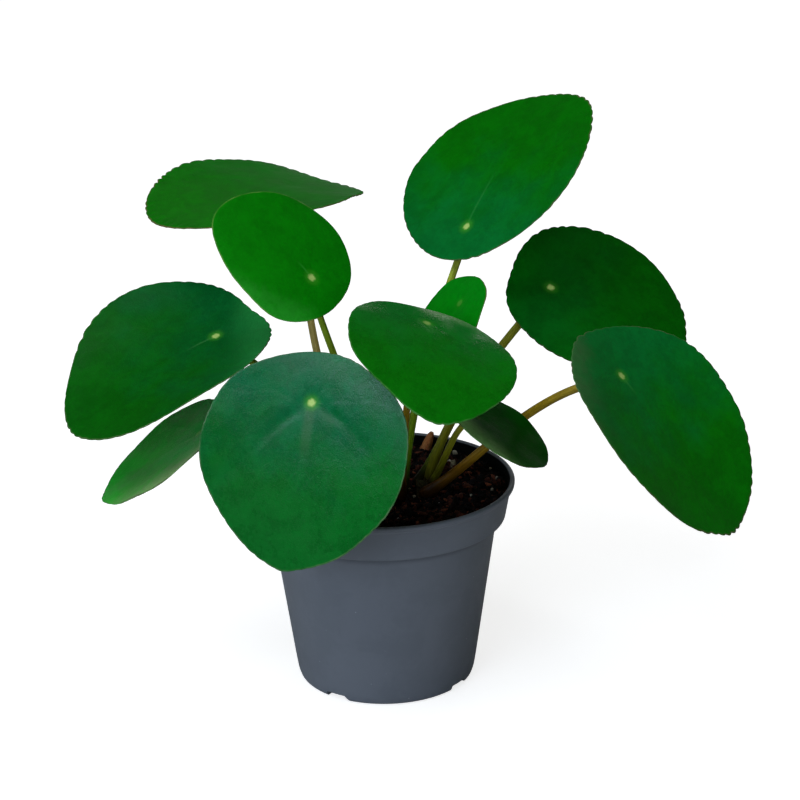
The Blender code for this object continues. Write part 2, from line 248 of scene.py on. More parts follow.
# where each soft light stands, its size in metres, its glow and colour, all facing the plant
# plain ones light the plant and shine in its gloss, soft ones only light it, sheen ones only shine
lights = {
    "windowLight": dict(at=(-0.7, -0.8, 1.85), size=(1.3, 1.2), glow=4.8, colour=(0.88, 0.95, 1.0), kind="plain"),
    "leftLight": dict(at=(-1.05, -2.05, 0.85), size=(1.5, 1.1), glow=4.3, colour=(0.76, 0.91, 1.12), kind="soft"),
    "topFill": dict(at=(0.6, -0.35, 1.95), size=(1.2, 1.2), glow=0.8, colour=(1.0, 0.97, 0.92), kind="soft"),
    "backFill": dict(at=(0.55, 2.1, 0.95), size=(1.4, 0.9), glow=1.3, colour=(1.0, 0.99, 0.97), kind="soft"),
    "windowSheen": dict(at=(-1.42, -0.62, 1.58), size=(0.6, 0.5), glow=15.0, colour=(0.5, 0.75, 1.0), kind="sheen"),
    "backSheen": dict(at=(0.6, 2.2, 0.42), size=(0.9, 0.28), glow=2.2, colour=(1.0, 1.0, 0.95), kind="sheen"),
    "leftSheen": dict(at=(-0.8, 2.16, 0.4), size=(0.5, 0.3), glow=1.0, colour=(1.0, 1.0, 0.9), kind="sheen"),
}
studio = dict(
    sky=0.1, skyColour=(1.0, 0.98, 0.95), floor=(0.62, 0.62, 0.62), floorGlow=0.78, reach=7.0, drop=-0.0004,
    aim=(0.0, 0.0, 0.13),
)


def lightStudio():
    for name, light in lights.items():
        data = bpy.data.lights.new(name, "AREA")
        data.shape = "RECTANGLE"
        data.size, data.size_y = light["size"]
        data.energy = light["glow"] * pi * data.size * data.size_y
        data.color = light["colour"]
        obj = bpy.data.objects.new(name, data)
        scene.collection.objects.link(obj)
        obj.location = light["at"]
        obj.visible_camera = False
        obj.visible_glossy = light["kind"] != "soft"
        obj.visible_diffuse = light["kind"] != "sheen"
        way = Vector(studio["aim"]) - Vector(light["at"])
        obj.rotation_euler = way.to_track_quat("-Z", "Y").to_euler()
    world = bpy.data.worlds.new("studioAir")
    scene.world = world
    world.use_nodes = True
    world.node_tree.nodes["Background"].inputs["Color"].default_value = (*studio["skyColour"], 1.0)
    world.node_tree.nodes["Background"].inputs["Strength"].default_value = studio["sky"]


def layFloor():
    n = newMaterial("paleFloor", 0.1)
    n.sockets["Roughness"].default_value = 0.9
    n.sockets["Base Color"].default_value = (*studio["floor"], 1.0)
    # the floor glows a little to the eye only, so that it stays pale without lighting the plant
    n.sockets["Emission Color"].default_value = (1.0, 1.0, 1.0, 1.0)
    seen = n.add("ShaderNodeLightPath").outputs["Is Camera Ray"]
    n.feed(n.sockets["Emission Strength"], n.times(seen, studio["floorGlow"]))
    ring = ringPoints(studio["reach"], studio["drop"], 96)
    mesh = meshFrom("studioFloor", ring, [tuple(range(len(ring)))], scale=1.0)
    newObject(mesh, [n.material])


placeCamera()
lightStudio()
layFloor()
print("camera, lights and floor placed")


def makeLeafVeins():
    # pale veins that fan out from the seat, bending towards the tip, with finer ones between
    n, given, out = newGroup("leafVeins", ("Reach", "Width", "Fade"), ("Main", "Fine", "Groove"))
    wander = n.noise(given["Place"], 0.045, 1.0, output="Color")
    shift = n.vector("MULTIPLY", n.vector("SUBTRACT", wander, (0.5, 0.5, 0.5)), (9.0, 9.0, 0.0))
    bent = n.vector("ADD", given["Place"], shift)
    parts = n.parts(bent)
    far = n.math("SQRT", n.plus(n.times(parts["X"], parts["X"]), n.times(parts["Y"], parts["Y"])))
    angle = n.math("ARCTAN2", parts["Y"], parts["X"])
    # each vein leaves the seat at its own bearing and curls towards the tip as it goes
    best = None
    for bearing, curl, weight in ((0.0, 0.0, 1.0), (0.98, -0.005, 0.9), (1.8, -0.005, 0.7), (2.65, -0.003, 0.6)):
        for side in (1, -1) if bearing else (1,):
            wanted = n.math("MULTIPLY_ADD", far, side * curl, side * bearing)
            gap = n.math("ABSOLUTE", n.math("WRAP", n.math("SUBTRACT", angle, wanted), pi, -pi))
            line = n.math("DIVIDE", n.times(n.math("SINE", n.math("MINIMUM", gap, 1.5)), far), weight)
            best = line if best is None else n.math("MINIMUM", best, line)
    main = n.fall(best, 0.0, n.times(given["Width"], 2.2))
    valley = n.fall(best, 0.0, n.times(given["Width"], 6.0))
    n.feed(out["Main"], n.times(main, n.fall(given["Reach"], 0.05, given["Fade"])))
    n.feed(out["Fine"], n.fall(n.cells(bent, 0.16, feature="DISTANCE_TO_EDGE"), 0.0, 0.09))
    n.feed(out["Groove"], n.times(valley, n.spread(given["Reach"], 0.7, 1.0, 1.0, 0.2)))
    return n.tree


def makeMottle():
    # soft blotches with a finer speckle in them, from 0 to 1
    n, given, out = newGroup("mottle", ("Size", "Speckle"), ("Blotch", "Speck"))
    scale = n.math("DIVIDE", 1.0, given["Size"])
    broad = n.noise(given["Place"], scale, 3.0, 0.55, 0.6)
    close = n.noise(given["Place"], n.times(scale, 7.0), 2.0, 0.6)
    both = n.plus(broad, n.times(n.math("SUBTRACT", close, 0.5), given["Speckle"]))
    n.feed(out["Blotch"], n.spread(both, 0.36, 0.66))
    n.feed(out["Speck"], n.spread(close, 0.62, 0.78))
    return n.tree


def makeFineGrain():
    # a height for skin, bark or moulded plastic: pores over a slow swell
    n, given, out = newGroup("fineGrain", ("Size", "Swell"), ("Height",))
    scale = n.math("DIVIDE", 1.0, given["Size"])
    slow = n.times(n.noise(given["Place"], n.times(scale, 0.12)), given["Swell"])
    n.feed(out["Height"], n.plus(n.noise(given["Place"], scale, 3.0, 0.6), slow))
    return n.tree


def makeStripes():
    # long fine streaks along a stalk, Place holds the round way in x and y and the long way in z
    n, given, out = newGroup("longStripes", ("Stretch", "Scale"), ("Streak", "Ridge"))
    parts = n.parts(given["Place"])
    along = n.times(parts["Z"], given["Stretch"])
    drawn = n.add("ShaderNodeCombineXYZ", {"X": parts["X"], "Y": parts["Y"], "Z": along}).outputs[0]
    n.feed(out["Streak"], n.spread(n.noise(drawn, given["Scale"], 3.0, 0.6), 0.34, 0.66))
    n.feed(out["Ridge"], n.noise(drawn, n.times(given["Scale"], 2.6), 1.0))
    return n.tree


leafVeins = makeLeafVeins()
mottle = makeMottle()
fineGrain = makeFineGrain()
longStripes = makeStripes()
print("effects built")


# the blades' common form: thickness, spacing, wave and dimple in mm, the rest as shares or counts
leafCut = dict(
    thickness=0.9, marginThickness=0.5, waves=7, wave=0.3, spacing=0.85, rings=30, dimple=0.55, dimpleReach=5.0,
    full=0.012, skew=0.0, side=0.0, thick=1.0, crimp=0.0, fold=0.04, foldReach=60.0, folds=(0.98, -0.98, 1.8, -1.8),
    lobes=(),
)

# at is the seat in mm, then the bearing of the tip, its droop, the roll, and the outline's own values;
# lobes are swellings of the margin, each with its bearing, height in mm and half width in degrees;
# what a blade doesn't say comes from leafCut
leaves = {
    "back_left": dict(
        at=(-40, 72, 214), heading=-139, droop=-6, bank=-1, length=101, width=96, seat=0.26, taper=0.08,
        curl=(-5.3, 3.5), foot=("trunk", 112, 93), rise=(-36, 13, 41), drop=(-8, 18, 48), stem="tan",
        teeth=(5.6, 0.85), crimp=0.7, lobes=((126, -3.4, 17), (158, 2.8, 13), (222, 3.2, 26)),
    ),
    "upper_left": dict(
        at=(-29.5, -26, 199.5), heading=161, droop=-47, bank=-22, length=66, width=63, seat=0.25, taper=0.11,
        curl=(-3.0, -3.5), skew=0.03, foot=("trunk", 148, 94), rise=(-8, -4, 43), drop=(-3, -11, 26), thick=0.9,
        stem="green", teeth=(6.0, 0.12), full=-0.015,
    ),
    "left": dict(
        at=(-73.5, -5, 166.5), heading=-156, droop=19, bank=-10, length=98.5, width=94, seat=0.233, taper=0.064,
        curl=(-4.2, 9.8), skew=0.013, side=-0.007, foot=("trunk", 184, 92), rise=(-14, 2, 32), drop=(-22, -5, 16),
        stem="green", teeth=(5.8, 0.7), lobes=((18, -0.9, 12), (50, 1.5, 18), (188, -2.0, 12), (216, 2.8, 18)),
    ),
    "low_left": dict(
        at=(-81.5, -25, 128), heading=167, droop=37, bank=-12, length=68, width=65, seat=0.21, taper=0.066,
        curl=(1.1, 2.3), skew=0.006, foot=("trunk", 220, 94), rise=(-17, -2, 14), drop=(-21, -2, 14), thick=0.9,
        stem="green", teeth=(5.6, 0.3), lobes=((308, 1.2, 18), (20, 0.6, 12)),
    ),
    "front": dict(
        at=(-30, -65, 156), heading=-109, droop=60, bank=-1, length=93, width=90.5, seat=0.235, taper=0.117,
        curl=(-2.9, 6.3), skew=-0.008, side=0.016, foot=("trunk", 258, 92), rise=(-7, -10, 27), drop=(-8, -16, 16),
        stem="brown", teeth=(5.6, 0.3), fold=0.55, foldReach=24.0, folds=(1.22, -0.95),
        lobes=(
            (10, -1.3, 18), (65, 0.8, 12), (95, -0.8, 12), (145, -1.5, 14), (228, 1.5, 16), (278, 1.2, 20),
            (352, 0.9, 7),
        ),
    ),
    "middle": dict(
        at=(20, -40, 182.5), heading=-86, droop=7, bank=-19, length=78, width=74.5, seat=0.197, taper=0.05,
        curl=(-5.6, 0.6), side=0.013, foot=("trunk", 315, 93), rise=(2, -5, 37), drop=(9, -5, 25), thick=0.9,
        stem="brown", teeth=(5.8, 0.3),
        lobes=((3, 1.2, 10), (168, 3.2, 18), (215, 1.2, 14), (292, 1.7, 16), (328, -1.8, 14)),
    ),
    "top": dict(
        at=(40, 40, 202), heading=54, droop=-43, bank=-11, length=102, width=97, seat=0.175, taper=0.026,
        curl=(-5.1, 2.0), skew=-0.01, side=0.005, foot=("trunk", 35, 92), rise=(5, 12, 48), drop=(10, 1, 28),
        stem="fresh", teeth=(6.0, 0.75),
        lobes=((5, -0.8, 20), (55, 2.3, 16), (83, -1.5, 10), (213, -1.3, 12), (243, 1.2, 12), (328, 1.9, 16)),
    ),
    "young_back": dict(
        at=(35.5, 4, 177), heading=-153, droop=51, bank=4, length=50.5, width=48.5, seat=0.27, taper=0.04,
        curl=(-4.9, 0.1), foot=("side_stem", 118, 93.5), rise=(24, 31, 24), drop=(-6, -25, 23), thick=0.8,
        stem="green", teeth=(5.0, 0.15), lobes=((215, 1.0, 30),),
    ),
    "upper_right": dict(
        at=(79, 45, 170.5), heading=-1, droop=14, bank=30, length=88.5, width=85, seat=0.23, taper=0.093,
        curl=(-4.3, 1.3), skew=-0.005, side=-0.01, foot=("side_stem", 50, 92), rise=(2, -3, 28), drop=(19, 8, 17),
        thick=1.15, stem="olive", teeth=(5.8, 0.65),
        lobes=((3, -1.5, 14), (50, 1.1, 22), (95, -0.8, 10), (133, 2.8, 16), (172, -1.3, 14), (205, 0.8, 14)),
    ),
    "right": dict(
        at=(105.5, -28, 152.5), heading=-38, droop=45, bank=-4, length=107, width=102, seat=0.22, taper=0.107,
        curl=(-1.2, 8.8), skew=0.01, side=0.008, foot=("side_stem", -52, 91), rise=(30, 0, 22), drop=(35, -26, 14),
        thick=1.15, stem="brown", teeth=(5.9, 0.9),
        lobes=(
            (18, -1.0, 16), (92, -1.3, 14), (125, 2.6, 18), (193, 1.2, 12), (238, 1.5, 14), (303, 1.8, 18),
            (346, -1.0, 8),
        ),
    ),
    "young_right": dict(
        at=(41.5, -36, 137.5), heading=-12, droop=31, bank=3, length=49.5, width=47.5, seat=0.263, taper=0.03,
        curl=(-0.4, 1.2), foot=("side_stem", 5, 93.5), rise=(8, -7, 17), drop=(9, -10, 5), thick=0.85, stem="olive",
        teeth=(5.0, 0.2), lobes=((55, 1.3, 24), (260, -2.2, 14)),
    ),
}
leaves = {key: leafCut | leaf for key, leaf in leaves.items()}

# base is the green of each blade, its own colour with painted light, set brighter or darker for the light that
# reaches it, deep its darker patches as a share of it, cool the blue in others, margin the colour of its very edge,
# gloss its shine, dot how much the seat shows; rib is a pale line from the seat with its length, half width, strength
# and colour, and paintedLight a paler side of the blade, painted light and sheen, with its bearing, start, strength
# and colour; what a look doesn't say comes from leafSkin
leafLooks = {
    "back_left": dict(
        base=(0.003, 0.175, 0.001), cool=0.03, margin=(0.13, 0.09, 0.035), gloss=0.1, dot=0.0, slot="leaf_olive",
    ),
    "upper_left": dict(
        base=(0.001, 0.2, 0.001), deep=0.86, cool=0.0, margin=(0.16, 0.3, 0.06), gloss=0.05, dot=0.85,
        slot="leaf_bright", rib=(11.0, 0.7, 0.25, (0.05, 0.34, 0.05)), paintedLight=(100, 0.45, 0.8, (0.02, 0.33, 0.02)),
    ),
    "left": dict(
        base=(0.0005, 0.106, 0.001), cool=0.16, margin=(0.09, 0.15, 0.05), gloss=0.06, dot=0.9,
        rib=(17.0, 0.8, 0.35, (0.05, 0.22, 0.06)), paintedLight=(150, 0.05, 0.85, (0.025, 0.33, 0.065)),
    ),
    "low_left": dict(
        base=(0.006, 0.43, 0.018), cool=0.08, margin=(0.06, 0.075, 0.03), gloss=0.08, dot=0.2, rough=0.3,
        paintedLight=(80, 0.2, 0.75, (0.27, 0.37, 0.15)),
    ),
    "front": dict(
        base=(0.0005, 0.13, 0.012), deep=0.8, cool=0.24, margin=(0.085, 0.16, 0.065), gloss=0.125, dot=1.0,
        rough=0.22, rib=(30.0, 3.4, 0.45, (0.05, 0.13, 0.055)), paintedLight=(120, 0.25, 0.7, (0.03, 0.18, 0.062)),
    ),
    "middle": dict(
        base=(0.001, 0.16, 0.001), deep=0.84, cool=0.08, margin=(0.06, 0.2, 0.04), gloss=0.1, dot=0.55,
        slot="leaf_bright", rough=0.22, paintedLight=(150, 0.35, 0.9, (0.16, 0.34, 0.13)),
    ),
    "top": dict(
        base=(0.001, 0.145, 0.001), deep=0.84, cool=0.14, margin=(0.12, 0.11, 0.05), gloss=0.03, dot=0.9,
        rib=(36.0, 0.8, 0.3, (0.03, 0.25, 0.05)),
    ),
    "young_back": dict(
        base=(0.001, 0.215, 0.001), deep=0.9, cool=0.02, margin=(0.12, 0.12, 0.04), gloss=0.01, dot=0.1,
        slot="leaf_bright",
    ),
    "upper_right": dict(
        base=(0.0005, 0.115, 0.001), deep=0.8, cool=0.05, margin=(0.05, 0.05, 0.018), gloss=0.04, dot=1.3,
        slot="leaf_dark", paintedLight=(142, -0.3, 0.9, (0.001, 0.27, 0.006)),
    ),
    "right": dict(
        base=(0.001, 0.162, 0.001), cool=0.14, margin=(0.08, 0.095, 0.035), gloss=0.08, dot=0.8, rough=0.3,
        rib=(12.0, 0.9, 0.35, (0.04, 0.24, 0.05)), paintedLight=(250, 0.4, 0.75, (0.06, 0.195, 0.055)),
    ),
    "young_right": dict(
        base=(0.001, 0.082, 0.001), deep=0.8, cool=0.02, margin=(0.08, 0.085, 0.035), gloss=0.03, dot=0.1,
        slot="leaf_dark", rough=0.45, paintedLight=(250, 0.05, 0.95, (0.33, 0.72, 0.2)),
    ),
}
leafSkin = dict(
    rough=0.36, deep=0.82, slot="leaf_green", under=(0.075, 0.15, 0.04), underVein=(0.17, 0.26, 0.09), veinTint=0.05,
    fineTint=0.03, patchSize=13.0, closeSize=3.4, closeDeep=0.86, speckTint=0.22, dotColour=(0.44, 0.6, 0.16),
    halo=(0.05, 0.3, 0.015), dotSize=1.9, haloSize=5.0,
)
leafLooks = {key: leafSkin | look for key, look in leafLooks.items()}


def leafTurn(leaf):
    return Euler([radians(leaf[key]) for key in ("bank", "droop", "heading")], "XYZ").to_matrix()


def leafMesh(name, leaf, number):
    # a polar sheet about the seat, with a top, a rounded edge and an underside
    length, width = leaf["length"], leaf["width"]
    pitch, toothDepth = leaf["teeth"]
    around = pi * 0.5 * (length + width)
    sectors, rings = int(around / leaf["spacing"]), leaf["rings"]
    angles = np.linspace(0, 2 * pi, sectors, endpoint=False)
    circle = np.stack([np.cos(angles), np.sin(angles)], 1)

    def marginNoise(scale, seed):
        return noiseAt(np.column_stack([circle * scale, np.full(sectors, seed + number)]))

    # rounded teeth of uneven width and depth round the margin
    phase = 0.5 * angles * round(around / pitch) + 2.2 * marginNoise(2.1, 0.3)
    uneven = np.clip(0.75 + 1.3 * marginNoise(3.3, 8.7), 0.1, 1.6)
    tooth = toothDepth * uneven * (np.abs(np.sin(phase)) ** 0.8 - 0.68)
    drift = 0.35 * marginNoise(1.3, 4.1)
    lobed = np.zeros(sectors)
    for bearing, high, wide in leaf["lobes"]:
        off = np.degrees(np.angle(np.exp(1j * (angles - radians(bearing)))))
        lobed += high * np.exp(-((off / wide) ** 2))
    grown = 1 + leaf["full"] * np.cos(4 * angles) + leaf["skew"] * np.sin(3 * angles)

    # all rings at once: places in the blade's own frame, in mm
    share = np.array([[(i / rings) ** 0.9] for i in range(1, rings + 1)])
    x = share * grown * length * (0.5 * circle[:, 0] + 0.5 - leaf["seat"])
    y = share * grown * width * (0.5 * circle[:, 1] * (1 - leaf["taper"] * circle[:, 0]) + leaf["side"])
    edge = (tooth + drift) * smoothStep(0.8, 1.0, share) ** 1.5 + lobed * share**2
    far = np.hypot(x, y)
    x, y = x + x / far * edge, y + y / far * edge
    ends, sides = leaf["curl"]
    z = ends * (2 * x / length) ** 2 + sides * (2 * y / width) ** 2
    z = z + leaf["wave"] * share**4 * np.sin(leaf["waves"] * angles + 1.7 * number)
    z = z + leaf["crimp"] * tooth * smoothStep(0.93, 1.0, share)

    # slow unevenness of the skin, shallow valleys along the main veins and a dimple at the seat
    spots = np.column_stack([x.ravel(), y.ravel(), np.full(x.size, 11.0 * number)])
    swell = (0.4 * noiseAt(spots / 19.0) + 0.12 * noiseAt(spots / 6.5)).reshape(x.shape)
    far, bearing = np.hypot(x, y), np.arctan2(y, x)
    valley = np.zeros(x.shape)
    for start in leaf["folds"]:
        gap = np.abs(np.angle(np.exp(1j * (bearing - start * (1 - 0.005 * far)))))
        valley = np.maximum(valley, np.exp(-((np.sin(np.minimum(gap, 1.5)) * far / 2.6) ** 2)))
    valley = valley * np.exp(-((far / leaf["foldReach"]) ** 2))
    dip = leaf["dimple"] * np.exp(-((far / leaf["dimpleReach"]) ** 2))
    hold = smoothStep(0.02, 0.2, share) * (1 - 0.6 * smoothStep(0.85, 1.0, share))
    z = z + (hold * (swell - leaf["fold"] * valley) - dip)
    sheet = np.vstack([[[0.0, 0.0, -leaf["dimple"]]], np.column_stack([x.ravel(), y.ravel(), z.ravel()])])
    places = np.column_stack([sheet[:, :2], np.full(len(sheet), 37.0 * number)])
    reach = np.concatenate([[0.0], np.repeat(share, sectors)])

    # surface directions of the sheet from its own faces
    faces = [(0, 1 + i, 1 + (i + 1) % sectors) for i in range(sectors)]
    faces += [(1 + a, 1 + d, 1 + c, 1 + b) for a, b, c, d in gridFaces(rings, sectors)]
    bare = meshFrom("bare", sheet, faces, scale=1.0)
    normals = np.zeros(len(bare.vertices) * 3)
    bare.vertices.foreach_get("normal", normals)
    normals = normals.reshape(-1, 3)
    bpy.data.meshes.remove(bare)

    half = 0.5 * (leaf["thickness"] + (leaf["marginThickness"] - leaf["thickness"]) * reach**3)[:, None]
    count = len(sheet)
    last = slice(count - sectors, None)
    outward = sheet[last] - sheet[count - 2 * sectors : count - sectors]
    outward /= np.linalg.norm(outward, axis=1)[:, None]
    layers = [sheet + half * normals]
    for turn in (0.25 * pi, 0.5 * pi, 0.75 * pi):
        layers.append(sheet[last] + half[last] * (cos(turn) * normals[last] + sin(turn) * outward))
    layers.append(sheet - half * normals)
    base = count + 3 * sectors
    bands = (count - sectors, count, count + sectors, count + 2 * sectors, base + count - sectors)
    under = [tuple(base + corner for corner in reversed(face)) for face in faces]
    for low, high in zip(bands, bands[1:]):
        for i in range(sectors):
            n = (i + 1) % sectors
            faces.append((low + i, high + i, high + n, low + n))
    marks = {
        "leafReach": np.concatenate([reach, np.ones(3 * sectors), reach]),
        "leafSide": np.concatenate([np.ones(count), np.repeat([0.8, 0.5, 0.2], sectors), np.zeros(count)]),
        "leafPlace": np.vstack([places, places[last], places[last], places[last], places]),
    }
    points = np.vstack(layers) @ np.array(leafTurn(leaf)).T + np.array(leaf["at"])
    return meshFrom(name, points, faces + under, marks)


def leafMaterial(name, look, leaf):
    n = newMaterial(name, look["gloss"])
    place, reach, side = n.attribute("leafPlace", "Vector"), n.attribute("leafReach"), n.attribute("leafSide")
    veins = n.group(leafVeins, Place=place, Reach=reach, Width=0.42, Fade=0.95)
    patches = n.group(mottle, Place=place, Size=look["patchSize"], Speckle=0.5)
    close = n.group(mottle, Place=place, Size=look["closeSize"], Speckle=0.9)
    red, green, blue = look["base"]
    # bluer from the tip back to the seat, unevenly
    parts = n.parts(place)
    ahead = n.math("MULTIPLY_ADD", n.noise(place, 0.045, 3.0, 0.6), 0.9 * leaf["length"], parts["X"])
    cooler = n.fall(ahead, 0.28 * leaf["length"], 0.98 * leaf["length"])
    colour = n.mix(cooler, look["base"], (red, green, blue + look["cool"] * green))
    # painted light and sheen: one side of the blade is made paler where light and sheen fall on it
    if "paintedLight" in look:
        bearing, start, strength, tint = look["paintedLight"]
        way = (cos(radians(bearing)), sin(radians(bearing)), 0.0)
        aside = n.times(n.vector("DOT_PRODUCT", n.outward(place), way), reach)
        drawn = n.times(aside, n.math("MULTIPLY_ADD", patches["Blotch"], 0.3, 0.85))
        colour = n.mix(n.times(n.spread(drawn, start, 1.05), strength), colour, tint)
    colour = n.mix(patches["Blotch"], colour, [look["deep"]] * 3, "MULTIPLY")
    colour = n.mix(n.times(close["Blotch"], 0.8), colour, [look["closeDeep"]] * 3, "MULTIPLY")
    pale = (1.5 * red + 0.004, 1.5 * green, 1.5 * blue + 0.004)
    for mask, key in ((veins["Fine"], "fineTint"), (veins["Main"], "veinTint"), (patches["Speck"], "speckTint")):
        colour = n.mix(n.times(mask, look[key]), colour, pale)
    # a paler midrib where it shows, and the seat as a pale dot in a brighter ring
    if "rib" in look:
        length, half, strength, tint = look["rib"]
        line = n.fall(n.math("ABSOLUTE", parts["Y"]), 0.3 * half, half)
        run = n.times(n.spread(parts["X"], 0.5, 2.5), n.fall(parts["X"], 0.4 * length, length))
        colour = n.mix(n.times(n.times(line, run), strength), colour, tint)
    far = n.vector("LENGTH", n.vector("MULTIPLY", place, (1.0, 1.0, 0.0)))
    ragged = n.plus(far, n.times(n.math("SUBTRACT", n.noise(place, 0.9, 1.0), 0.5), 1.1))
    shown, size = min(1.0, look["dot"]), look["dotSize"]
    colour = n.mix(n.fall(ragged, 0.7 * size, look["haloSize"], 0.6 * shown), colour, look["halo"])
    dot = [max(1.0, look["dot"]) * c for c in look["dotColour"]]
    colour = n.mix(n.fall(ragged, 0.5 * size, 1.2 * size, 0.95 * shown), colour, dot)
    # a thin margin, dry here and there
    dry = n.spread(n.noise(place, 0.11), 0.35, 0.65, 0.15, 0.85)
    colour = n.mix(n.times(n.spread(reach, 0.99, 0.999), dry), colour, look["margin"])
    under = n.mix(n.times(veins["Main"], 0.5), look["under"], look["underVein"])
    under = n.mix(n.times(patches["Blotch"], 0.35), under, look["base"])
    colour = n.mix(n.spread(side, 0.15, 0.45), under, colour)
    grain = n.group(fineGrain, Place=place, Size=0.7, Swell=0.6)["Height"]
    dull = n.plus(n.times(patches["Blotch"], -0.06), n.times(grain, 0.12))
    rough = n.plus(n.spread(side, 0.2, 0.6, 0.5, look["rough"]), dull)
    sunk = n.plus(n.times(veins["Groove"], 0.3), n.times(veins["Fine"], 0.12))
    swell = n.plus(n.times(grain, 0.35), n.times(close["Blotch"], 0.25))
    return n.surface(colour, rough, n.math("SUBTRACT", swell, sunk), 0.00022, 0.6)


def growLeaves():
    for number, (key, leaf) in enumerate(leaves.items()):
        look = leafLooks[key]
        mesh = leafMesh("leaf_" + key, leaf, number)
        obj = newObject(mesh, [leafMaterial("leafSkin_" + key, look, leaf)])
        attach(obj, "root")
        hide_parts("blade_" + key)


growLeaves()
print("leaves grown")


stems = {
    "trunk": dict(at=(3.0, -12.0), radius=5.0, low=64.0, top=98.5, rings=6),
    "side_stem": dict(at=(17.5, -4.5), radius=2.6, low=72.0, top=95.5, rings=5),
}
stalkCut = dict(low=2.0, high=1.6, points=64, sides=18, flare=1.45, gap=0.3, halfBlade=0.45, sink=1.5, gloss=0.07)
# footShade is the dark colour at the very foot, the stalk's own colour darkened as painted shade where the stalks
# crowd the stem; foot that by the soil, partly darkened as painted shade; shaft that of the stalk and crown that
# under the leaf
stalkLooks = {
    "green": dict(
        footShade=(0.012, 0.014, 0.002), foot=(0.15, 0.22, 0.006), shaft=(0.28, 0.43, 0.02), crown=(0.32, 0.46, 0.03),
        slot="stalk_green",
    ),
    "fresh": dict(
        footShade=(0.012, 0.016, 0.002), foot=(0.14, 0.27, 0.005), shaft=(0.29, 0.44, 0.02), crown=(0.42, 0.4, 0.06),
        slot="stalk_green",
    ),
    "olive": dict(
        footShade=(0.016, 0.011, 0.002), foot=(0.15, 0.16, 0.006), shaft=(0.32, 0.33, 0.02), crown=(0.42, 0.4, 0.06),
        slot="stalk_green",
    ),
    "tan": dict(
        footShade=(0.016, 0.011, 0.002), foot=(0.16, 0.14, 0.01), shaft=(0.52, 0.4, 0.12), crown=(0.6, 0.45, 0.16),
        slot="stalk_tan",
    ),
    "brown": dict(
        footShade=(0.05, 0.018, 0.002), foot=(0.24, 0.11, 0.006), shaft=(0.33, 0.22, 0.012), crown=(0.36, 0.27, 0.04),
        slot="stalk_brown",
    ),
}


def bezier(handles, t):
    a, b, c, d = handles
    s = 1.0 - t
    return a * s**3 + b * 3 * s * s * t + c * 3 * s * t * t + d * t**3


def tubeShape(path, radii, sides, seed=0.0, lift=None):
    # a closed tube with rounded ends, its frame carried along the path without twist
    path = [Vector(p) for p in path]
    ways = [(path[min(i + 1, len(path) - 1)] - path[max(i - 1, 0)]).normalized() for i in range(len(path))]
    side = ways[0].orthogonal().normalized()
    loops, places, along = [], [], []
    travelled = 0.0
    for i, (centre, way) in enumerate(zip(path, ways)):
        if i:
            travelled += (centre - path[i - 1]).length
            side = ways[i - 1].rotation_difference(way) @ side
        side = (side - way * side.dot(way)).normalized()
        other = way.cross(side)
        loops.append([])
        for k in range(sides):
            turn = 2 * pi * k / sides
            reach = radii[i] * (1.0 + (lift(turn, travelled) if lift else 0.0))
            loops[i].append(centre + reach * (cos(turn) * side + sin(turn) * other))
            places.append((3.0 * cos(turn), 3.0 * sin(turn) + seed, travelled))
            along.append(i / (len(path) - 1))
    places += [(0.0, seed, 0.0), (0.0, seed, travelled)]
    return *shell(loops, path[0], path[-1]), {"stalkPlace": places, "stalkAlong": along + [0.0, 1.0]}


def stalkMaterial(name, look):
    n = newMaterial(name, stalkCut["gloss"])
    place, along = n.attribute("stalkPlace", "Vector"), n.attribute("stalkAlong")
    stripes = n.group(longStripes, Place=place, Stretch=0.05, Scale=0.75)
    # painted shade darkens each stalk towards its foot by the stem, over its own colour
    colour = n.mix(n.spread(along, 0.03, 0.13), look["footShade"], look["foot"])
    colour = n.mix(n.spread(along, 0.12, 0.45), colour, look["shaft"])
    colour = n.mix(n.spread(along, 0.55, 1.0), colour, look["crown"])
    colour = n.mix(n.times(stripes["Streak"], 0.75), colour, (0.58, 0.58, 0.5), "MULTIPLY")
    lit = n.mix(1.0, colour, (1.5, 1.5, 1.7), "MULTIPLY")
    colour = n.mix(n.spread(stripes["Ridge"], 0.55, 0.72, 0.0, 0.6), colour, lit)
    blots = n.times(n.group(mottle, Place=place, Size=6.0, Speckle=0.4)["Blotch"], 0.3)
    colour = n.mix(blots, colour, (0.75, 0.7, 0.55), "MULTIPLY")
    return n.surface(colour, n.math("MULTIPLY_ADD", stripes["Streak"], 0.14, 0.36), stripes["Ridge"], 0.00025, 0.6)


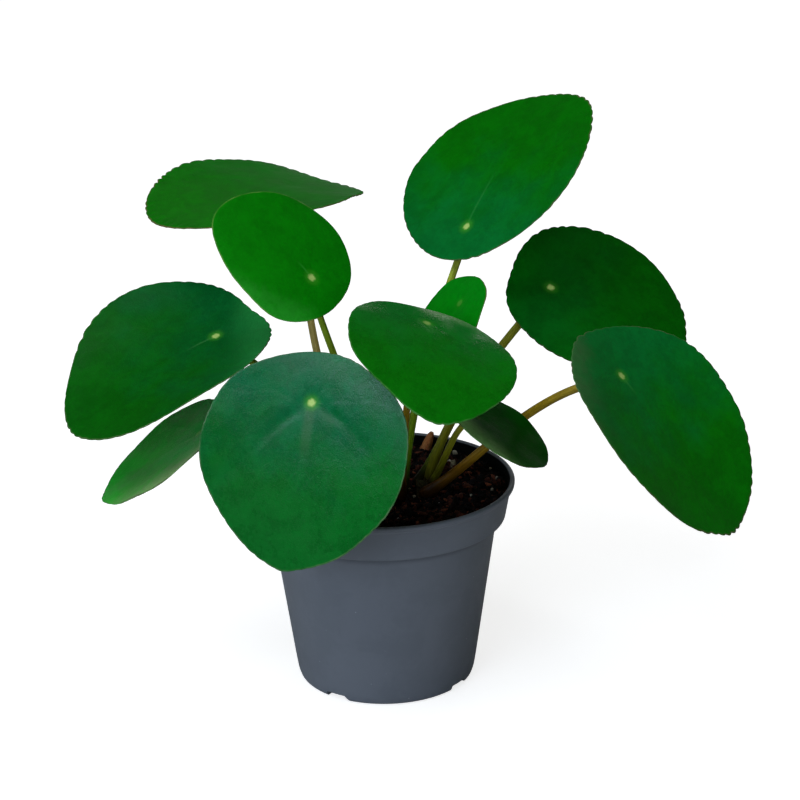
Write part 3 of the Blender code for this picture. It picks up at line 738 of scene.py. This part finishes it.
def growStalks():
    for number, (key, leaf) in enumerate(leaves.items()):
        low, high = stalkCut["low"] * leaf["thick"], stalkCut["high"] * leaf["thick"]
        stemName, bearing, height = leaf["foot"]
        stem = stems[stemName]
        rise, drop = Vector(leaf["rise"]), Vector(leaf["drop"])
        out = Vector((cos(radians(bearing)), sin(radians(bearing)), 0.0))
        lean = low * rise.normalized().cross(out).length
        start = Vector((*stem["at"], height)) + out * (stem["radius"] + stalkCut["gap"] + lean)
        normal = leafTurn(leaf).col[2]
        lean = high * drop.normalized().cross(normal).length
        end = Vector(leaf["at"]) - normal * (stalkCut["halfBlade"] + stalkCut["gap"] + lean)
        # the foot dips into the stem
        path = [Vector((*stem["at"], height - stalkCut["sink"])) + out * (stem["radius"] * 0.6)]
        radii = [low * 1.3]
        for i in range(stalkCut["points"]):
            t = i / (stalkCut["points"] - 1)
            path.append(bezier((start, start + rise, end - drop, end), t))
            swollen = 1 + (stalkCut["flare"] - 1) * exp(-t / 0.05) + 0.1 * exp(-(1 - t) / 0.02)
            radii.append((low + (high - low) * t**0.6) * swollen)
        # the crown runs on into the underside of the blade
        into = Vector(leaf["at"]) - normal * 0.2
        path += [end.lerp(into, 0.6), into]
        radii += [high * 1.06, high * 0.9]

        def lift(turn, travelled, seed=number):
            bump = noise.noise(Vector((cos(turn), sin(turn) + seed, travelled / 14.0)))
            return 0.02 * sin(7 * turn + seed) + 0.03 * bump

        look = stalkLooks[leaf["stem"]]
        mesh = meshFrom("stem_" + key, *tubeShape(path, radii, stalkCut["sides"], 9.0 * number, lift))
        obj = newObject(mesh, [stalkMaterial("stalkSkin_" + key, look)])
        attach(obj, "root")
        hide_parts("stalk_" + key)


growStalks()
print("stalks grown")


potCut = dict(
    height=95.3, lip=60.0, lipRound=1.15, lipDepth=2.6, collarTop=(58.2, 91.5), collarLow=(55.7, 78.0),
    wallTop=(51.6, 76.0), wallLow=(41.85, 8.0), foot=39.7, wall=1.4, floor=4.0, recess=2.2, recessInner=15.0,
    recessOuter=33.5, steps=192, notches=4, notchAt=-124.0, notchWide=12.5, notchHigh=2.8, notchSlope=2.4, drains=6,
    drainCircle=25.0, drain=3.5,
)
potLook = dict(
    colour=(0.144, 0.158, 0.183), deep=(0.124, 0.138, 0.16), inside=(0.0015, 0.0025, 0.0025), dust=(0.36, 0.37, 0.39),
    lipTone=(0.12, 0.13, 0.145), collarShade=(0.02, 0.024, 0.03), roughness=0.42, gloss=0.25, innerGloss=0.04,
)


def roundedProfile(points, sizes, count=5):
    # each corner of the line is rounded off by its own size
    out = [points[0]]
    for before, corner, after, size in zip(points, points[1:], points[2:], sizes):
        a, b, c = (Vector(p) for p in (before, corner, after))
        size = min(size, 0.45 * (a - b).length, 0.45 * (c - b).length)
        low, high = b + (a - b).normalized() * size, b + (c - b).normalized() * size
        for i in range(count):
            t = i / (count - 1)
            out.append(tuple((1 - t) ** 2 * low + 2 * t * (1 - t) * b + t * t * high))
    return out + [points[-1]]


def cutAway(obj, cutters):
    # takes each cutter's shape out of the piece and keeps the result as its mesh
    for cutter in cutters:
        step = obj.modifiers.new("cut", "BOOLEAN")
        step.operation, step.solver, step.object = "DIFFERENCE", "EXACT", cutter
    graph = bpy.context.evaluated_depsgraph_get()
    mesh = bpy.data.meshes.new_from_object(obj.evaluated_get(graph), depsgraph=graph)
    obj.modifiers.clear()
    obj.data = mesh
    for cutter in cutters:
        bpy.data.objects.remove(cutter)


def potProfile():
    # the section from the middle of the floor up, over the lip and down to the middle of the base
    cut = potCut
    lip, top, bead, wall, foot, recess = (cut[key] for key in ("lip", "height", "lipRound", "wall", "foot", "recess"))
    (collar, collarHigh), (band, bandHigh) = cut["collarTop"], cut["collarLow"]
    (upper, upperHigh), (lower, lowerHigh) = cut["wallTop"], cut["wallLow"]
    near, far, under = cut["recessInner"], cut["recessOuter"], top - cut["lipDepth"]
    inner = [
        (0.0, cut["floor"]), (foot - 0.5 * wall, cut["floor"]), (lower - wall, lowerHigh),
        (upper - wall, upperHigh + 0.6), (band - wall, bandHigh + 0.8), (collar - wall, collarHigh),
        (lip - 2 * bead, top - bead),
    ]
    turns = [radians(172 - 172 * i / 12) for i in range(13)]
    rim = [(lip - bead + bead * cos(turn), top - bead + bead * sin(turn)) for turn in turns]
    outer = [
        rim[-1], (lip - 0.1, under + 0.1), (collar + 0.5, under - 0.5), (collar, collarHigh), (band, bandHigh),
        (upper + 0.35, upperHigh + 0.5), (upper - 0.1, upperHigh - 0.6), (lower, lowerHigh), (lower - 0.85, 3.0),
        (foot + 0.4, 0.6), (foot - 0.5, 0.0), (far + 0.8, 0.0), (far, recess), (near, recess), (near - 0.8, 0.0),
        (0.0, 0.0),
    ]
    inner = roundedProfile(inner, (1.5, 2.0, 0.8, 0.8, 1.5))
    outer = roundedProfile(outer, (0.5, 0.5, 1.0, 0.5, 0.8, 0.5, 4.0, 1.6, 0.5, 0.4, 0.3, 0.4, 0.4, 0.3))
    return inner[:-1] + rim + outer[1:]


def footNotches():
    # low openings across the foot ring, upright at one end and sloped at the other
    cut = potCut
    half, low, high = 0.5 * cut["notchWide"], -1.0, cut["notchHigh"]
    outline = ((-half, low), (half + 0.6, low), (half - cut["notchSlope"], high), (-half + 0.25, high))
    shapes = []
    for i in range(cut["notches"]):
        turn = Matrix.Rotation(radians(cut["notchAt"] + 360.0 * i / cut["notches"]), 3, "Z")
        ends = (cut["recessOuter"] - 2.0, cut["foot"] + 6.0)
        shapes.append(shell([[turn @ Vector((r, t, z)) for t, z in outline] for r in ends]))
    return newObject(outwardMesh("footNotches", *joined(shapes)))


def drainHoles():
    cut, shapes = potCut, []
    for i in range(cut["drains"]):
        turn = 2 * pi * i / cut["drains"]
        centre = (cut["drainCircle"] * cos(turn), cut["drainCircle"] * sin(turn))
        shapes.append(shell([ringPoints(cut["drain"], z, 32, centre) for z in (-2.0, cut["floor"] + 2.0)]))
    return newObject(outwardMesh("drainHoles", *joined(shapes)))


def potMaterial(name, gloss):
    n = newMaterial(name, gloss)
    place = n.millimetres()
    high, lip, collar, wall = n.parts(place)["Z"], potCut["height"], potCut["collarLow"][1], potCut["wallTop"][1]
    cloud = n.group(mottle, Place=place, Size=22.0, Speckle=0.35)["Blotch"]
    colour = n.mix(n.times(cloud, 0.55), potLook["colour"], potLook["deep"])
    # pale specks of dust, only in a few of the cells
    tone = n.add("ShaderNodeSeparateColor", {"Color": n.cells(place, 0.3, output="Color")}).outputs["Red"]
    speck = n.times(n.fall(n.cells(place, 0.3), 0.05, 0.11), n.spread(tone, 0.8, 0.92))
    colour = n.mix(n.times(speck, 0.6), colour, potLook["dust"])
    # the top of the lip is a little darker, in patches
    lipPatches = n.spread(n.noise(place, 0.35, 3.0), 0.35, 0.7, 0.15, 0.6)
    colour = n.mix(n.times(n.spread(high, lip - 0.9, lip - 0.1), lipPatches), colour, potLook["lipTone"])
    # painted shade: the wall just under the collar's overhang is darkened
    under = n.times(n.spread(high, wall - 2.8, wall + 0.2), n.fall(high, collar - 0.6, collar - 0.2, 0.4))
    colour = n.mix(under, colour, potLook["collarShade"])
    # painted shade: the inner wall below the lip is made near black
    facing = n.vector("DOT_PRODUCT", n.add("ShaderNodeNewGeometry").outputs["Normal"], n.outward(place))
    inward = n.times(n.fall(facing, -0.75, -0.3), n.fall(high, lip - 0.9, lip - 0.3))
    colour = n.mix(inward, colour, potLook["inside"])
    streak = n.noise(n.vector("MULTIPLY", place, (1.0, 1.0, 0.05)), 0.9)
    grain = n.group(fineGrain, Place=place, Size=0.45, Swell=0.8)["Height"]
    rough = n.plus(potLook["roughness"] - 0.06, n.times(n.plus(grain, streak), 0.08))
    height = n.plus(n.times(grain, 0.5), n.plus(n.times(streak, 0.35), n.times(speck, 0.8)))
    return n.surface(colour, rough, height, 0.0001, 0.5)


def buildPot():
    materials = [
        potMaterial("mouldedPlastic", potLook["gloss"]), potMaterial("innerPlastic", potLook["innerGloss"]),
    ]
    profile = potProfile()
    loops = [ringPoints(r, z, potCut["steps"]) for r, z in profile[1:-1]]
    ends = [(0.0, 0.0, z) for _, z in (profile[0], profile[-1])]
    obj = newObject(outwardMesh("nurseryPot", *shell(loops, *ends)), materials)
    cutAway(obj, [footNotches(), drainHoles()])
    # the inner wall's faces below the lip take the less glossy plastic
    for face in obj.data.polygons:
        facing, far = face.normal.xy.dot(face.center.xy), face.center.xy.length
        face.material_index = int(facing < -0.5 * far and face.center.z < (potCut["height"] - 0.9) * mm)
    obj.data.shade_smooth()
    obj.data.set_sharp_from_angle(angle=radians(38))
    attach(obj, "root")
    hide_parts("pot")


buildPot()
print("pot turned")


soilCut = dict(
    top=90.5, edge=56.2, low=82.0, lumps=1.7, grain=9.0, hollow=2.6, hollowInner=7.5, hollowOuter=15.0, spacing=0.75,
    crumbs=1700, chips=135, grains=34, fibres=46, seed=12, crumbSizes=(0.5, 0.65, 0.8, 1.0, 1.35, 1.8),
    chipSizes=(1.1, 3.2), grainSizes=(0.22, 0.6), fibreLengths=(4.0, 11.0), fibreSizes=(0.1, 0.2), fibreSteps=8,
)
soilLook = dict(
    peat=((0.0032, 0.0014, 0.001), (0.07, 0.0185, 0.01), (0.0012, 0.0008, 0.0006)),
    chips=((0.13, 0.034, 0.016), (0.21, 0.058, 0.028), (0.06, 0.018, 0.01)),
    pale=((0.36, 0.31, 0.22), (0.22, 0.18, 0.11), (0.46, 0.43, 0.36)), gloss=0.15,
)
# pale grains and chips that stand out, each with its place and size in mm, and a chip with its tone
seenGrains = (
    (32.6, 24.9, 1.7), (33.9, 37.7, 1.5), (31.0, 27.5, 1.3), (49.8, 24.1, 0.9), (52.0, 3.8, 0.9), (39.6, -10.2, 0.7),
    (13.8, -7.8, 1.0), (12.0, 1.6, 0.9), (49.3, -6.4, 0.9), (-8.5, -46.0, 0.8),
)
seenChips = (
    (17.3, -34.6, 5.4, 0.9), (12.5, -37.0, 4.2, 0.4), (9.5, -17.5, 4.4, 0.7), (12.6, -23.0, 4.0, 0.5),
    (38.5, -3.4, 2.6, 0.5), (43.0, -3.5, 2.8, 0.4), (28.0, -20.0, 3.0, 0.2),
)


def soilHeight(x, y):
    # the bed's own lumps, dipping round each stem, in mm
    lump = noise.noise(Vector((x, y, 0.0)) / soilCut["grain"])
    crumb = noise.noise(Vector((x, y, 50.0)) / (0.4 * soilCut["grain"]))
    nearest = min(hypot(x - stem["at"][0], y - stem["at"][1]) for stem in stems.values())
    clear = max(0.0, min(1.0, (nearest - soilCut["hollowInner"]) / (soilCut["hollowOuter"] - soilCut["hollowInner"])))
    bed = soilCut["lumps"] * (lump + 0.5 * crumb) * clear - soilCut["hollow"] * (1.0 - clear)
    clods = abs(noise.noise(Vector((x, y, 7.0)) / 2.6)) + 0.5 * abs(noise.noise(Vector((x, y, 17.0)) / 1.2))
    rimDip = -1.2 * max(0.0, (hypot(x, y) / soilCut["edge"] - 0.93) / 0.07)
    return soilCut["top"] + bed + 1.5 * (clods - 0.35) + rimDip


def soilBed():
    rings, sectors = int(soilCut["edge"] / soilCut["spacing"]), 264
    loops = [ringPoints(soilCut["edge"] * r / rings, 0.0, sectors) for r in range(1, rings + 1)]
    loops = [[(x, y, soilHeight(x, y)) for x, y, _ in loop] for loop in loops]
    loops.append(ringPoints(soilCut["edge"] - 1.4, soilCut["low"], sectors))
    return outwardMesh("soilBed", *shell(loops, (0.0, 0.0, soilHeight(0.0, 0.0)), (0.0, 0.0, soilCut["low"])))


def lumpShape(rand, roughness):
    # one uneven pebble of about unit size
    bm = bmesh.new()
    bmesh.ops.create_icosphere(bm, subdivisions=2, radius=1.0)
    offset = Vector((rand.uniform(0, 90), rand.uniform(0, 90), rand.uniform(0, 90)))
    for vertex in bm.verts:
        broad, close = (noise.noise(vertex.co * scale + offset) for scale in (1.3, 3.1))
        vertex.co *= 1.0 + roughness * broad + 0.4 * roughness * close
    points = np.array([tuple(v.co) for v in bm.verts])
    faces = [tuple(v.index for v in f.verts) for f in bm.faces]
    bm.free()
    return points, faces


def chipShape(rand):
    # a broken flake: a thin slab with a torn outline
    turns = sorted(rand.uniform(0, 2 * pi) for _ in range(rand.randint(6, 9)))
    outline = [(cos(t) * rand.uniform(0.75, 1.1), sin(t) * rand.uniform(0.35, 0.6)) for t in turns]
    loops = []
    for z, shrink in ((-0.16, 0.88), (-0.03, 1.0), (0.1, 0.95), (0.17, 0.72)):
        rough = [0.05 * noise.noise(Vector((3 * x, 3 * y, z))) for x, y in outline]
        loops.append([(x * shrink, y * shrink, z + up) for (x, y), up in zip(outline, rough)])
    return shell(loops)


def strew(name, shapes, tones, material):
    # many small shapes as one piece, each marked with its own tone
    marks = {"pieceTone": np.repeat(tones, [len(own) for own, _ in shapes])}
    obj = newObject(outwardMesh(name, *joined(shapes), marks), [material])
    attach(obj, "root")
    return obj


def scatter(name, rows, shapes, material):
    # a row is (shape, place, size, turn, tone)
    moved = []
    for shape, place, size, turn, _ in rows:
        own, ownFaces = shapes[shape]
        moved.append(((np.array(own) * np.array(size)) @ np.array(turn.to_matrix()).T + np.array(place), ownFaces))
    strew(name, moved, [row[-1] for row in rows], material).data.set_sharp_from_angle(angle=radians(40))


def earthMaterial(name, tones, roughness, fromTone=True):
    # dark peat, its colour led by noise or by the tone each small piece carries
    n = newMaterial(name, soilLook["gloss"])
    place = n.millimetres()
    lead = n.attribute("pieceTone") if fromTone else n.noise(place, 0.42, 3.0, 0.65)
    colour = n.mix(n.spread(lead, 0.51, 0.63), tones[0], tones[1])
    colour = n.mix(n.spread(lead, 0.66, 0.8), colour, tones[2])
    patches = n.times(n.group(mottle, Place=place, Size=3.2, Speckle=0.8)["Blotch"], 0.55)
    colour = n.mix(patches, colour, [0.35 * c for c in tones[0]])
    grain = n.group(fineGrain, Place=place, Size=0.35, Swell=1.0)["Height"]
    return n.surface(colour, n.math("MULTIPLY_ADD", grain, 0.15, roughness - 0.1), grain, 0.0005, 0.9)


def freeSpot(rand, reach, clear):
    # somewhere on the bed, off the stems and inside the wall
    while True:
        turn, far = rand.uniform(0, 2 * pi), reach * sqrt(rand.random())
        x, y = far * cos(turn), far * sin(turn)
        if all(hypot(x - stem["at"][0], y - stem["at"][1]) > stem["radius"] + clear for stem in stems.values()):
            return x, y


def fillPot():
    rand = random.Random(soilCut["seed"])

    def laid(shape, x, y, lift, size, tilt=pi, tone=None):
        turn = Euler((rand.uniform(-tilt, tilt), rand.uniform(-tilt, tilt), rand.uniform(0, 2 * pi)))
        return shape, (x, y, soilHeight(x, y) + lift), size, turn, rand.random() if tone is None else tone

    bed = newObject(soilBed(), [earthMaterial("peatBed", soilLook["peat"], 0.95, False)])
    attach(bed, "root")
    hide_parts("soil")
    lumps, rows = [lumpShape(rand, 0.55) for _ in range(8)], []
    for _ in range(soilCut["crumbs"]):
        x, y = freeSpot(rand, soilCut["edge"] - 1.6, 0.6)
        size = rand.choice(soilCut["crumbSizes"]) * rand.uniform(0.8, 1.2)
        sizes = [size * rand.uniform(0.7, 1.3), size, size * rand.uniform(0.6, 0.9)]
        rows.append(laid(rand.randrange(8), x, y, 0.25 * size, sizes))
    scatter("peatCrumbs", rows, lumps, earthMaterial("peatCrumb", soilLook["peat"], 0.9))
    flakes = [chipShape(rand) for _ in range(8)]
    rows = [laid(rand.randrange(8), x, y, 0.8, [0.5 * size] * 3, 0.3, tone) for x, y, size, tone in seenChips]
    for _ in range(soilCut["chips"]):
        x, y = freeSpot(rand, soilCut["edge"] - 4.0, 2.5)
        size = rand.uniform(*soilCut["chipSizes"])
        rows.append(laid(rand.randrange(8), x, y, 0.4, [size, size * rand.uniform(0.6, 1.1), size], 0.5))
    scatter("barkChips", rows, flakes, earthMaterial("barkChip", soilLook["chips"], 0.8))
    pebbles, rows = [lumpShape(rand, 0.35) for _ in range(5)], []
    for x, y, size in seenGrains:
        rows.append(laid(rand.randrange(5), x, y, 0.7 * size, [size, 0.8 * size, 0.75 * size]))
    for _ in range(soilCut["grains"]):
        x, y = freeSpot(rand, soilCut["edge"] - 2.0, 1.5)
        size = rand.uniform(*soilCut["grainSizes"])
        rows.append(laid(rand.randrange(5), x, y, 0.5 * size, [size] * 3))
    scatter("paleGrains", rows, pebbles, earthMaterial("paleGrain", soilLook["pale"], 0.8))
    fibres = []
    for _ in range(soilCut["fibres"]):
        x, y = freeSpot(rand, soilCut["edge"] - 7.0, 3.0)
        heading, length = rand.uniform(0, 2 * pi), rand.uniform(*soilCut["fibreLengths"])
        bend, steps, path = rand.uniform(-0.16, 0.16), soilCut["fibreSteps"], []
        for i in range(steps + 1):
            path.append((x, y, soilHeight(x, y) + 0.35 + 0.5 * sin(pi * i / steps)))
            heading += bend
            x, y = x + length / steps * cos(heading), y + length / steps * sin(heading)
        thick = rand.uniform(*soilCut["fibreSizes"])
        fibres.append(tubeShape(path, [thick * (1 - 0.5 * i / steps) for i in range(steps + 1)], 6)[:2])
    strew("rootFibres", fibres, [rand.random() for _ in fibres], earthMaterial("rootFibre", soilLook["chips"], 0.8))


fillPot()
print("soil filled")


barkLook = dict(
    bark=(0.042, 0.028, 0.011), deep=(0.015, 0.01, 0.004), scar=(0.07, 0.05, 0.022), green=(0.01, 0.014, 0.003),
    gloss=0.06,
)


def barkMaterial():
    n = newMaterial("stemBark", barkLook["gloss"])
    place, along = n.attribute("stalkPlace", "Vector"), n.attribute("stalkAlong")
    streak = n.group(longStripes, Place=place, Stretch=0.3, Scale=0.9)["Streak"]
    patches = n.group(mottle, Place=place, Size=3.0, Speckle=0.6)["Blotch"]
    colour = n.mix(patches, barkLook["deep"], barkLook["bark"])
    colour = n.mix(n.times(streak, 0.4), colour, barkLook["scar"])
    colour = n.mix(n.spread(along, 0.75, 1.0, 0.0, 0.7), colour, barkLook["green"])
    grain = n.group(fineGrain, Place=place, Size=0.5, Swell=0.8)["Height"]
    return n.surface(colour, n.math("MULTIPLY_ADD", grain, 0.2, 0.55), grain, 0.0005, 0.8)


def stemMesh(name, stem, number):
    # rings of old leaf scars, each with a few swollen steps round it, under a blunt bud
    rows, sides = 70, 44
    path, radii = [], []
    pitch = (stem["top"] - stem["low"]) / stem["rings"]
    for i in range(rows):
        t = i / (rows - 1)
        z = stem["low"] + (stem["top"] - stem["low"]) * t
        ring = (z - stem["low"]) / pitch % 1.0
        reach = stem["radius"] * (0.92 + 0.08 * exp(-((ring - 0.5) / 0.14) ** 2))
        bud = max(0.0, (z - stem["top"] + 0.9 * stem["radius"]) / (0.9 * stem["radius"]))
        path.append((stem["at"][0], stem["at"][1], z))
        radii.append(reach * sqrt(max(0.02, 1 - bud * bud)))

    def lift(turn, travelled):
        way = Vector((2.2 * cos(turn), 2.2 * sin(turn), travelled / 2.4 + 31 * number))
        return 0.07 * noise.noise(way) + 0.03 * noise.noise(2.6 * way)

    return meshFrom(name, *tubeShape(path, radii, sides, 50.0 + 9 * number, lift))


def budScales(name, stem, number, material):
    # small papery scales stand round the tip, where the stalks leave
    rand = random.Random(40 + number)
    shapes, places, along = [], [], []
    rows, columns, size = 6, 5, stem["radius"] / 5.0
    sheet = gridFaces(rows, columns, closed=False)
    back = rows * columns
    corners = [r * columns + c for r in range(rows) for c in range(columns)]
    border = corners[:columns] + corners[2 * columns - 1 :: columns] + corners[-2 : -columns - 1 : -1]
    border += corners[-2 * columns : 0 : -columns]
    faces = sheet + [tuple(back + v for v in reversed(face)) for face in sheet]
    faces += [(b, a, back + a, back + b) for a, b in zip(border, border[1:] + border[:1])]
    for i in range(7):
        turn = 2 * pi * (i * 0.382) + number
        tall, wide = rand.uniform(3.0, 4.6) * size, rand.uniform(1.3, 1.8) * size
        out, side = Vector((cos(turn), sin(turn), 0.0)), Vector((-sin(turn), cos(turn), 0.0))
        low = stem["top"] - 0.75 * stem["radius"] - rand.uniform(0, 2.0)
        foot = Vector((*stem["at"], low)) + out * stem["radius"] * 0.86
        points = []
        for layer in (0.1, -0.1):
            for corner in corners:
                t = corner // columns / (rows - 1)
                across = (corner % columns / (columns - 1) - 0.5) * 2 * wide * (1 - t) ** 0.7
                lean = 0.5 * tall * t * t - 0.16 * across * across
                points.append(foot + side * across + Vector((0, 0, tall * t)) + out * (lean * 0.5 + layer))
                places.append((across, 3.0 * number, tall * t))
                along.append(0.3 + 0.4 * t)
        shapes.append((points, faces))
    obj = newObject(outwardMesh(name, *joined(shapes), {"stalkPlace": places, "stalkAlong": along}), [material])
    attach(obj, "root")


def growStems():
    bark = barkMaterial()
    for number, (key, stem) in enumerate(stems.items()):
        name = {"trunk": "mainStem", "side_stem": "sideStem"}[key]
        obj = newObject(stemMesh(name, stem, number), [bark])
        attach(obj, "root")
        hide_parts(key)
        budScales(name + "Scales", stem, number, bark)


stubLook = dict(
    foot=(15.6, 46.2, 82.0), tip=(24.0, 50.5, 98.0), radius=2.75, colour=(0.4, 0.14, 0.04), deep=(0.17, 0.052, 0.014),
    pale=(0.52, 0.24, 0.09), gloss=0.15,
)


def standStub():
    # a dried stalk foot, shrunken, creased, narrowed at its tip and bent over
    foot, tip = Vector(stubLook["foot"]), Vector(stubLook["tip"])
    path, radii = [], []
    for i in range(26):
        t = i / 25
        bend = Vector((-1.2, 0.8, 0.0)) * max(0.0, t - 0.6) ** 2
        path.append(foot.lerp(tip, t) + bend + Vector((0.25 * sin(5 * t), 0.0, 0.0)))
        radii.append(stubLook["radius"] * (1.02 - 0.58 * t**3) * (1 - 0.35 * max(0.0, t - 0.93) / 0.07))

    def lift(turn, travelled):
        fold = 0.1 * abs(sin(2.5 * turn + 0.05 * travelled)) - 0.08
        return fold + 0.1 * noise.noise(Vector((cos(turn) * 1.5, sin(turn) * 1.5, travelled / 3.0)))

    n = newMaterial("dryStalk", stubLook["gloss"])
    place = n.attribute("stalkPlace", "Vector")
    stripes = n.group(longStripes, Place=place, Stretch=0.15, Scale=0.9)
    patches = n.group(mottle, Place=place, Size=3.5, Speckle=0.5)["Blotch"]
    colour = n.mix(patches, stubLook["deep"], stubLook["colour"])
    colour = n.mix(n.times(stripes["Streak"], 0.5), colour, stubLook["pale"])
    rough = n.math("MULTIPLY_ADD", stripes["Ridge"], 0.2, 0.6)
    material = n.surface(colour, rough, stripes["Ridge"], 0.0005, 0.8)
    obj = newObject(meshFrom("dryStub", *tubeShape(path, radii, 30, 77.0, lift)), [material])
    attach(obj, "root")
    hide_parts("old_stub")


growStems()
standStub()
print("stems and stub standing")
